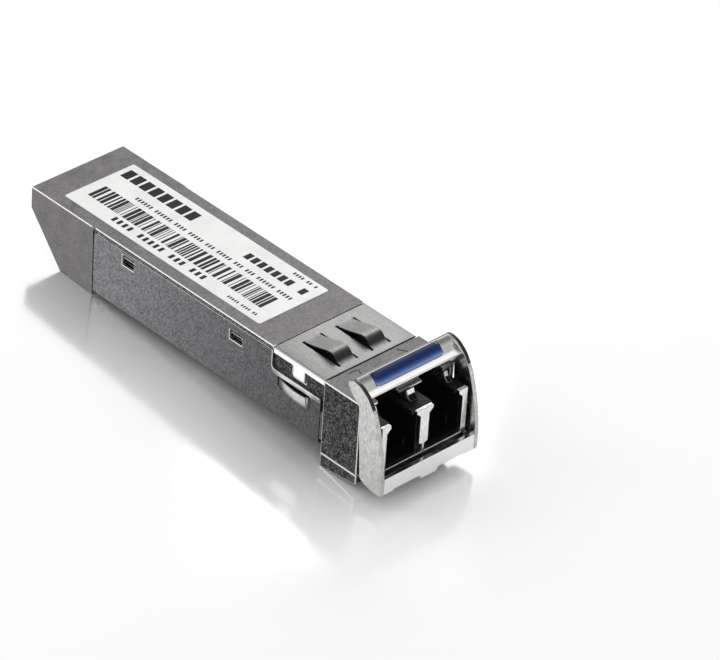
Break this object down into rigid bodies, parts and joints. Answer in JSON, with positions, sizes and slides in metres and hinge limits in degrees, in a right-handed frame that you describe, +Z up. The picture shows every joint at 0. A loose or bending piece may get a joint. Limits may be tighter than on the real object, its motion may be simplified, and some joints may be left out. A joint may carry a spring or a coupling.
{
  "type": "optical transceiver module",
  "caption": "Pluggable optical transceiver in a cast metal housing with a folded wrap, duplex LC ports and a hinged bail that frees its latch.",
  "frame": {"origin": "centre of the bounding box, at its bottom: midway between the two ports, halfway from the bail to the rear end, level with the underside of the nose", "axes": "+Z up, the length along Y with the optical ports at -Y and the board edge at +Y, +X to the right seen from the ports"},
  "size_m": [0.0142, 0.057, 0.0136],
  "materials": {
    "cast_zinc": "satin as-cast zinc, nickel flashed",
    "sheet_steel": "mottled satin sheet",
    "spring_steel": "satin spring steel",
    "bright_nickel": "bright nickel plate",
    "pin_steel": "ground steel",
    "black_moulding": "matt black moulding",
    "blue_moulding": "gloss deep blue moulding",
    "label_film": "white printed film",
    "board_green": "green solder mask",
    "chip_black": "matt moulding compound",
    "amber_film": "amber polyimide film",
    "gold_plate": "gold plate",
    "ceramic": "white ceramic",
    "ferrite": "dark ferrite",
    "pad_grey": "soft grey gap filler"
  },
  "bodies": {
    "module": {"upper_housing": "cast_zinc", "lower_housing": "cast_zinc", "wrap_shell": "sheet_steel", "emi_clip": "spring_steel", "receptacle": "black_moulding", "port_frame": "bright_nickel", "label": "label_film", "transmit_barrel": "pin_steel", "receive_barrel": "pin_steel", "transmit_can": "gold_plate", "receive_can": "gold_plate", "fibre_stub": "ceramic", "transmit_flex": "amber_film", "receive_flex": "amber_film", "barrel_clamp": "sheet_steel", "circuit_board": "board_green", "driver_ic": "chip_black", "amplifier_ic": "chip_black", "memory_ic": "chip_black", "supply_inductor": "ferrite", "receive_inductor": "ferrite", "input_capacitor": "ceramic", "output_capacitor": "ceramic", "crystal": "spring_steel", "thermal_pad": "pad_grey", "pivot_pin_left": "pin_steel", "pivot_pin_right": "pin_steel", "lever_pin": "pin_steel", "latch_spring": "spring_steel"},
    "bail": {"bail_frame": "bright_nickel", "bail_grip": "blue_moulding"},
    "latch": {"latch_lever": "cast_zinc"}
  },
  "joints": [
    {"name": "bail_swing", "type": "hinge", "parent": "module", "child": "bail", "pos_m": [0, -0.0266, 0.0025], "axis": [1, 0, 0], "range_deg": [0, 90]},
    {"name": "latch_rock", "type": "hinge", "parent": "module", "child": "latch", "pos_m": [0, -0.0215, 0.0011], "axis": [1, 0, 0], "range_deg": [0, 6.5], "deforming": ["latch_spring"]}
  ],
  "couplings": [
    {"joint": "latch_rock", "follows": "bail_swing", "ratio": 0.066667}
  ]
}
